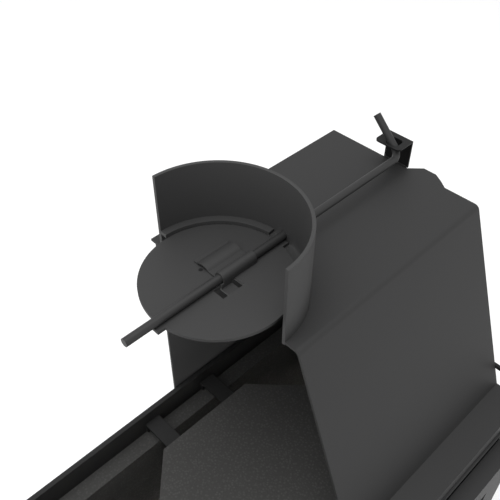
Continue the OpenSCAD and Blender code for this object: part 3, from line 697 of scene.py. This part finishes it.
@dataclass
class Fastener:
    """A screw head or a nut that stands on a face."""

    radius: float
    height: float
    drive: Drive = Drive.DOME
    sides: int = 36
    foot_share: float = 0.96
    rim_share: float = 0.12
    mouth_share: float = 0.42
    dome_steps: int = 6

    def build(self, name: str, point: Vector, out: Vector, body: str, finish: bpy.types.Material,
              slot: str) -> bpy.types.Object:
        """Builds one head.

        Args:
            name: The piece's name.
            point: The head's centre on the face.
            out: The face's outward normal.
            body: The body that it rides on.
            finish: Its material.
            slot: The record's material slot.

        Returns:
            The head.
        """
        mesh = bmesh.new()
        place = facing(point, out)
        if self.drive is Drive.HEX:
            self._hex(mesh, place)
        else:
            self._dome(mesh, place)
        return MeshKit.make(name, mesh, finish, body, slot)

    def _dome(self, mesh: bmesh.types.BMesh, place: Matrix) -> None:
        """Adds a domed head with a round socket.

        Args:
            mesh: The bmesh to add to.
            place: Where the head stands.
        """
        shares = [(self.foot_share, 0.0), (1.0, self.rim_share)]
        for step in range(1, self.dome_steps):
            turn = math.radians(90 * step / self.dome_steps)
            shares.append((self.mouth_share + (1 - self.mouth_share) * math.cos(turn),
                           self.rim_share + (1 - self.rim_share) * math.sin(turn)))
        shares += [(self.mouth_share, 1.0), *SOCKET_SHARES]
        profile = [(self.radius * wide, self.height * tall) for wide, tall in shares]
        MeshKit.lathe(mesh, profile, place, self.sides)

    def _hex(self, mesh: bmesh.types.BMesh, place: Matrix) -> None:
        """Adds a hexagon with a turned chamfer.

        Args:
            mesh: The bmesh to add to.
            place: Where the hexagon stands.
        """
        sixth = math.radians(60)
        flat = self.radius * math.cos(sixth / 2)
        rings = []
        for share, rise in HEXAGON_SHARES:
            ring = []
            for step in range(self.sides):
                turn = math.radians(360 * step / self.sides)
                reach = min(flat / math.cos(turn % sixth - sixth / 2), self.radius * share)
                ring.append(mesh.verts.new(place @ Vector((reach * math.cos(turn), reach * math.sin(turn),
                                                           self.height * rise))))
            rings.append(ring)
        MeshKit.skin(mesh, rings)


@dataclass
class SubAssembly:
    """A group of nodes and pieces that are dressed together, with every finish of the insert."""

    body: ClassVar[str] = ROOT_BODY
    finishes: Finishes

    def dress(self, node: str, material: bpy.types.Material) -> None:
        """Gives a CAD node its finish.

        Args:
            node: The node's name.
            material: The finish.
        """
        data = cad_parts[node].data
        data.materials.clear()
        data.materials.append(material)
        LOG.info("%s: %s", node, material.name)

    def turned_knob(self, name: str, node: str, slot: str) -> None:
        """Replaces a plain knob that points to the front with a turned one in the same place.

        Args:
            name: The piece's name.
            node: The CAD node that it stands for.
            slot: The record's material slot.
        """
        low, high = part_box(node)
        radius = (high[0] - low[0]) / 2
        length = high[1] - low[1]
        base = Vector(((low[0] + high[0]) / 2, high[1], (low[2] + high[2]) / 2))
        profile = [(radius * wide, length * deep) for wide, deep in KNOB_SHARES]
        mesh = bmesh.new()
        MeshKit.lathe(mesh, profile, facing(base, FRONT))
        knob = MeshKit.make(name, mesh, self.finishes.handle_black, self.body, slot)
        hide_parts(node)


@dataclass
class Hood(SubAssembly):
    """Top plate, folded slope, walls, flue collar and damper seat."""

    def build(self) -> None:
        """Dresses the hood."""
        self.dress("hood_sheet", self.finishes.hood_paint)
        # The rear wall's inside faces carry painted light
        self.dress("hood_rear_wall", self.finishes.wall_paint_painted_light)
        self.dress("hood_side_wall", self.finishes.body_paint)
        self.dress("flue_collar", self.finishes.collar_steel)
        self.dress("damper_seat", self.finishes.collar_steel)


@dataclass
class Damper(SubAssembly):
    """Disc, clamp, rivet and shaft."""

    body: ClassVar[str] = "damper"

    def build(self) -> None:
        """Dresses the damper."""
        self.dress("damper_disc", self.finishes.damper_steel)
        self.dress("damper_clamp", self.finishes.damper_steel)
        self.dress("disc_rivet", self.finishes.slide_steel)
        self.dress("damper_shaft", self.finishes.shaft_steel)


@dataclass
class DamperControl(SubAssembly):
    """Slotted slide, pull bar, knob and the bar's guides."""

    body: ClassVar[str] = "damper_control"
    strip_length: float = 37 * MM
    strip_thickness: float = 1.4 * MM
    strip_rise: float = 2.2 * MM
    strip_rounding: float = 0.3 * MM
    strip_setback: float = 1 * MM
    plate_clearance: float = 0.06 * MM
    side_stand: float = 0.3 * MM

    def build(self) -> None:
        """Dresses the control."""
        self.dress("control_slide", self.finishes.slide_steel)
        self.turned_knob("turned_pull_knob", "control_knob", "handle_black")
        self.foot_shadow_strip()
        self.dress("bar_guide_front", self.finishes.body_paint)
        self.dress("bar_guide_rear", self.finishes.body_paint)

    def foot_shadow_strip(self) -> None:
        """Adds a thin black strip at the foot of the slide's upright leg, just above the plate: it closes
        the gap under the leg and its black is the painted shadow at the leg's foot.
        """
        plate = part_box("hood_sheet")[1][2] + self.plate_clearance
        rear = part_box("control_slide")[1][1] - self.strip_setback
        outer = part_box("firebox_shell")[1][0] + self.side_stand
        thick, rise, rounding = self.strip_thickness, self.strip_rise, self.strip_rounding
        outline = [(0, 0), (thick, 0), (thick, rise), (rounding, rise), (0, rise - rounding)]
        mesh = bmesh.new()
        rings = []
        for y in (rear, rear - self.strip_length):
            rings.append([mesh.verts.new((outer - thick + x, y, plate + z)) for x, z in outline])
        MeshKit.skin(mesh, rings)
        # Black stands for painted shadow at the leg's foot; the strip also closes the gap under the leg
        MeshKit.make("foot_shadow_strip", mesh, self.finishes.handle_black, self.body, "handle_black")


@dataclass
class Firebox(SubAssembly):
    """Shell, hearth, lining, grate, retainer, baffle and its rests."""

    screw_radius: float = 5 * MM
    screw_height: float = 2.6 * MM
    screw_inset: float = 27 * MM

    def build(self) -> None:
        """Dresses the firebox."""
        self.dress("firebox_shell", self.finishes.body_paint)
        self.dress("front_frame", self.finishes.body_paint)
        self.dress("hearth_tray", self.finishes.liner_steel)
        self.dress("rear_liner", self.finishes.liner_steel)
        for node in ("hearth_slab", "rear_board", "left_board", "right_board", "baffle_plate"):
            self.dress(node, self.finishes.board)
        for node in ("fire_grate", "log_retainer"):
            self.dress(node, self.finishes.grate_iron)
        for place in ("rear_left", "rear_right", "left", "right"):
            self.dress(f"baffle_rest_{place}", self.finishes.liner_steel)
        self.frame_screws()

    def frame_screws(self) -> None:
        """Adds the screws that hold the front frame to the shell."""
        low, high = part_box("front_frame")
        head = Fastener(self.screw_radius, self.screw_height)
        inset = self.screw_inset
        for side, x in (("left", low[0] + inset), ("right", high[0] - inset)):
            for level, z in (("low", low[2] + inset), ("high", high[2] - inset)):
                head.build(f"frame_screw_{level}_{side}", Vector((x, low[1], z)), FRONT, self.body,
                           self.finishes.handle_black, "handle_black")


@dataclass
class Door(SubAssembly):
    """Door frame, glass, clips and their screws, rope seal, hinges."""

    body: ClassVar[str] = "door"
    screw_radius: float = 3.6 * MM
    screw_height: float = 2.2 * MM
    rope_width: float = 9 * MM
    rope_corner: float = 7 * MM
    rope_pitch: float = 2.5 * MM
    rope_sides: int = 14
    rope_fill_share: float = 0.97
    rope_pinch_share: float = 0.05
    corner_steps: int = 6

    def build(self) -> None:
        """Dresses the door."""
        self.dress("door_frame", self.finishes.cast_iron)
        self.dress("door_glass", self.finishes.glass)
        self.dress("hinge_block_top", self.finishes.cast_iron)
        self.dress("hinge_block_bottom", self.finishes.cast_iron)
        self.dress("hinge_pin_top", self.finishes.bright_steel)
        self.dress("hinge_pin_bottom", self.finishes.bright_steel)
        self.clips()
        self.seal()

    def clips(self) -> None:
        """Dresses the glass clips and adds a screw to each."""
        head = Fastener(self.screw_radius, self.screw_height)
        for level in ("top", "bottom"):
            for side in ("left", "right"):
                node = f"glass_clip_{level}_{side}"
                self.dress(node, self.finishes.bright_steel)
                low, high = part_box(node)
                middle = Vector(((low[0] + high[0]) / 2, high[1], (low[2] + high[2]) / 2))
                head.build(f"clip_screw_{level}_{side}", middle, REAR, self.body,
                           self.finishes.bright_steel, "dark_steel")

    def seal(self) -> None:
        """Replaces the plain seal with a round knitted rope that follows the same groove."""
        low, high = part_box("rope_seal")
        half = self.rope_width / 2
        depth = high[1] - low[1]
        path = self.groove((low[0] + half, low[2] + half), (high[0] - half, high[2] - half),
                           (low[1] + high[1]) / 2)
        fills = [self.rope_fill_share - self.rope_pinch_share * (index % 2) for index in range(len(path))]
        radii = [(half * fill, depth / 2 * fill) for fill in fills]
        mesh = bmesh.new()
        MeshKit.sweep(mesh, path, radii, self.rope_sides, True)
        rope = MeshKit.make("knitted_seal", mesh, self.finishes.rope, self.body, "rope")
        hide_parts("rope_seal")

    def groove(self, low: tuple[float, float], high: tuple[float, float], y: float) -> list[Vector]:
        """Follows the middle of the seal's groove once round the door.

        Args:
            low: The lowest x and z of the groove's middle.
            high: Its highest x and z.
            y: How far back it lies.

        Returns:
            The points of a rectangle with round corners.
        """
        corner = self.rope_corner
        (left, bottom), (right, top) = low, high
        runs = []
        for x, z, start in ((right - corner, bottom + corner, -90), (right - corner, top - corner, 0),
                            (left + corner, top - corner, 90), (left + corner, bottom + corner, 180)):
            turns = [math.radians(start + 90 * step / self.corner_steps)
                     for step in range(self.corner_steps + 1)]
            runs.append([Vector((x + corner * math.cos(turn), y, z + corner * math.sin(turn)))
                         for turn in turns])
        path = []
        for index, run in enumerate(runs):
            path += run
            goal = runs[(index + 1) % len(runs)][0]
            steps = int((goal - run[-1]).length / self.rope_pitch)
            path += [run[-1].lerp(goal, step / steps) for step in range(1, steps)]
        return path


@dataclass
class Handle(SubAssembly):
    """Door handle, spindle and latch."""

    body: ClassVar[str] = "handle"

    def build(self) -> None:
        """Dresses the handle."""
        self.dress("door_handle", self.finishes.handle_black)
        self.dress("handle_spindle", self.finishes.bright_steel)
        self.dress("door_latch", self.finishes.bright_steel)


@dataclass
class AshDrawer(SubAssembly):
    """Ash pan and its pull."""

    body: ClassVar[str] = "ash_drawer"

    def build(self) -> None:
        """Dresses the drawer."""
        self.dress("ash_pan", self.finishes.body_paint)
        self.turned_knob("turned_pan_pull", "pan_pull", "handle_black")


@dataclass
class AirControl(SubAssembly):
    """Air slider, its knob and rails, and the outside-air spigot."""

    body: ClassVar[str] = "air_control"
    bead_radius: float = 1.7 * MM
    bead_ripple: float = 0.22 * MM
    bead_stand: float = 0.4 * MM
    bead_ripples: int = 60
    bead_steps: int = 180
    bead_sides: int = 10

    def build(self) -> None:
        """Dresses the air control and seams the spigot."""
        self.dress("air_slider", self.finishes.bright_steel)
        self.turned_knob("turned_air_knob", "air_knob", "handle_black")
        self.dress("air_rails", self.finishes.liner_steel)
        self.dress("air_spigot", self.finishes.galvanised)
        self.spigot_weld()

    def spigot_weld(self) -> None:
        """Adds the weld bead at the spigot's root."""
        low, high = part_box("air_spigot")
        centre = Vector(((low[0] + high[0]) / 2, low[1], (low[2] + high[2]) / 2))
        radius = (high[0] - low[0]) / 2
        path = []
        radii = []
        for step in range(self.bead_steps):
            turn = 2 * math.pi * step / self.bead_steps
            path.append(centre + Vector((radius * math.cos(turn), self.bead_stand,
                                         radius * math.sin(turn))))
            swell = self.bead_radius + self.bead_ripple * math.sin(turn * self.bead_ripples)
            radii.append((swell, swell))
        mesh = bmesh.new()
        MeshKit.sweep(mesh, path, radii, self.bead_sides, True)
        MeshKit.make("spigot_weld", mesh, self.finishes.galvanised, ROOT_BODY,
                      "painted_sheet")


@dataclass
class Feet(SubAssembly):
    """Adjustable feet with their threads and lock nuts."""

    thread_radius: float = 7 * MM
    thread_pitch: float = 2 * MM
    thread_bottom: float = 9.5 * MM
    ridge_radius: float = 0.75 * MM
    ridge_sides: int = 6
    steps_per_turn: int = 28
    nut_radius: float = 12.5 * MM
    nut_height: float = 7 * MM
    nut_gap: float = 0.2 * MM

    def build(self) -> None:
        """Dresses the feet."""
        nut = Fastener(self.nut_radius, self.nut_height, Drive.HEX)
        for depth in ("front", "rear"):
            for side in ("left", "right"):
                node = f"foot_{depth}_{side}"
                self.dress(node, self.finishes.handle_black)
                low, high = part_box(node)
                middle = Vector(((low[0] + high[0]) / 2, (low[1] + high[1]) / 2, 0))
                seat = high[2] - self.nut_height
                self.thread(f"foot_thread_{depth}_{side}", middle, self.thread_bottom,
                            seat - self.nut_gap)
                nut.build(f"lock_nut_{depth}_{side}", Vector((middle.x, middle.y, seat)), UP,
                          self.body, self.finishes.galvanised, "dark_steel")

    def thread(self, name: str, middle: Vector, bottom: float, top: float) -> None:
        """Adds the screw's thread as one unbroken ridge.

        Args:
            name: The piece's name.
            middle: The screw's axis.
            bottom: Where the thread starts.
            top: Where it ends.
        """
        radius = self.thread_radius
        turns = (top - bottom) / self.thread_pitch
        count = int(turns * self.steps_per_turn)
        path = []
        for step in range(count + 1):
            turn = 2 * math.pi * turns * step / count
            path.append(middle + Vector((radius * math.cos(turn), radius * math.sin(turn),
                                         bottom + (top - bottom) * step / count)))
        radii = [(self.ridge_radius, self.ridge_radius)] * len(path)
        mesh = bmesh.new()
        MeshKit.sweep(mesh, path, radii, self.ridge_sides, False)
        MeshKit.make(name, mesh, self.finishes.galvanised, self.body, "dark_steel")


@dataclass(frozen=True)
class SoftLight:
    """A square soft light, its power in watts."""

    name: str
    place: Point
    goal: Point
    size: float
    power: float

    def build(self) -> None:
        """Hangs the light and points it at its goal."""
        data = bpy.data.lights.new(self.name, "AREA")
        data.size = self.size
        data.energy = self.power
        light = bpy.data.objects.new(self.name, data)
        light.location = self.place
        aim = Vector(self.goal) - Vector(self.place)
        light.rotation_euler = aim.to_track_quat("-Z", "Y").to_euler()
        bpy.context.scene.collection.objects.link(light)


@dataclass
class Studio:
    """Pale floor, soft light and the photograph's camera."""

    camera_place: Point = (-0.33245, -0.39001, 1.3244)
    pitch_deg: float = 43.26
    yaw_deg: float = 44.31
    focal_px: float = 681.79
    frame_px: float = 500.0
    sensor_mm: float = 36.0
    clip_start: float = 0.02
    floor_size: float = 9.0
    floor_tone: float = 0.94
    floor_glow: float = 0.14
    floor_roughness: float = 0.9
    floor_specular: float = 0.1
    surroundings: float = 0.78
    overhead: SoftLight = SoftLight("overhead", (-0.45, -0.1, 3.4), (0, 0, 0.6), 2.0, 44.0)
    left_high: SoftLight = SoftLight("left_high", (-3.2, 0.6, 3.0), (0, 0, 0.8), 2.4, 18.0)

    def build(self) -> None:
        """Builds the stage."""
        self.camera()
        self.floor()
        self.lights()

    def camera(self) -> None:
        """Adds the camera at the photograph's viewing angle."""
        data = bpy.data.cameras.new("studio_camera")
        data.sensor_width = self.sensor_mm
        data.lens = self.focal_px / self.frame_px * self.sensor_mm
        data.clip_start = self.clip_start
        camera = bpy.data.objects.new("studio_camera", data)
        camera.location = self.camera_place
        camera.rotation_euler = (math.radians(90 - self.pitch_deg), 0, math.radians(-self.yaw_deg))
        bpy.context.scene.collection.objects.link(camera)
        bpy.context.scene.camera = camera

    def floor(self) -> None:
        """Adds the pale floor."""
        mesh = bmesh.new()
        bmesh.ops.create_grid(mesh, x_segments=4, y_segments=4, size=self.floor_size)
        data = bpy.data.meshes.new("studio_floor")
        mesh.to_mesh(data)
        mesh.free()
        floor = bpy.data.objects.new("studio_floor", data)
        bpy.context.scene.collection.objects.link(floor)
        material = bpy.data.materials.new("studio_floor")
        material.use_nodes = True
        shader = material.node_tree.nodes["Principled BSDF"]
        shader.inputs["Base Color"].default_value = (self.floor_tone, self.floor_tone, self.floor_tone, 1)
        shader.inputs["Emission Color"].default_value = (1, 1, 1, 1)
        shader.inputs["Emission Strength"].default_value = self.floor_glow
        shader.inputs["Roughness"].default_value = self.floor_roughness
        shader.inputs["Specular IOR Level"].default_value = self.floor_specular
        data.materials.append(material)

    def lights(self) -> None:
        """Adds the white surroundings and the soft key and fill lights."""
        scene = bpy.context.scene
        scene.view_settings.view_transform = "Standard"
        world = bpy.data.worlds.new("studio_world")
        world.use_nodes = True
        back = world.node_tree.nodes["Background"]
        back.inputs["Color"].default_value = (1, 1, 1, 1)
        back.inputs["Strength"].default_value = self.surroundings
        scene.world = world
        self.overhead.build()
        self.left_high.build()


def main() -> None:
    """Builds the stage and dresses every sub-assembly."""
    logging.basicConfig(level=logging.INFO, format="%(message)s")
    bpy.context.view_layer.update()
    Studio().build()
    finishes = Finishes(Effects())
    for part in (Hood, Damper, DamperControl, Firebox, Door, Handle, AshDrawer, AirControl, Feet):
        LOG.info("%s", part.__name__)
        part(finishes).build()


if __name__ == "__main__":
    main()
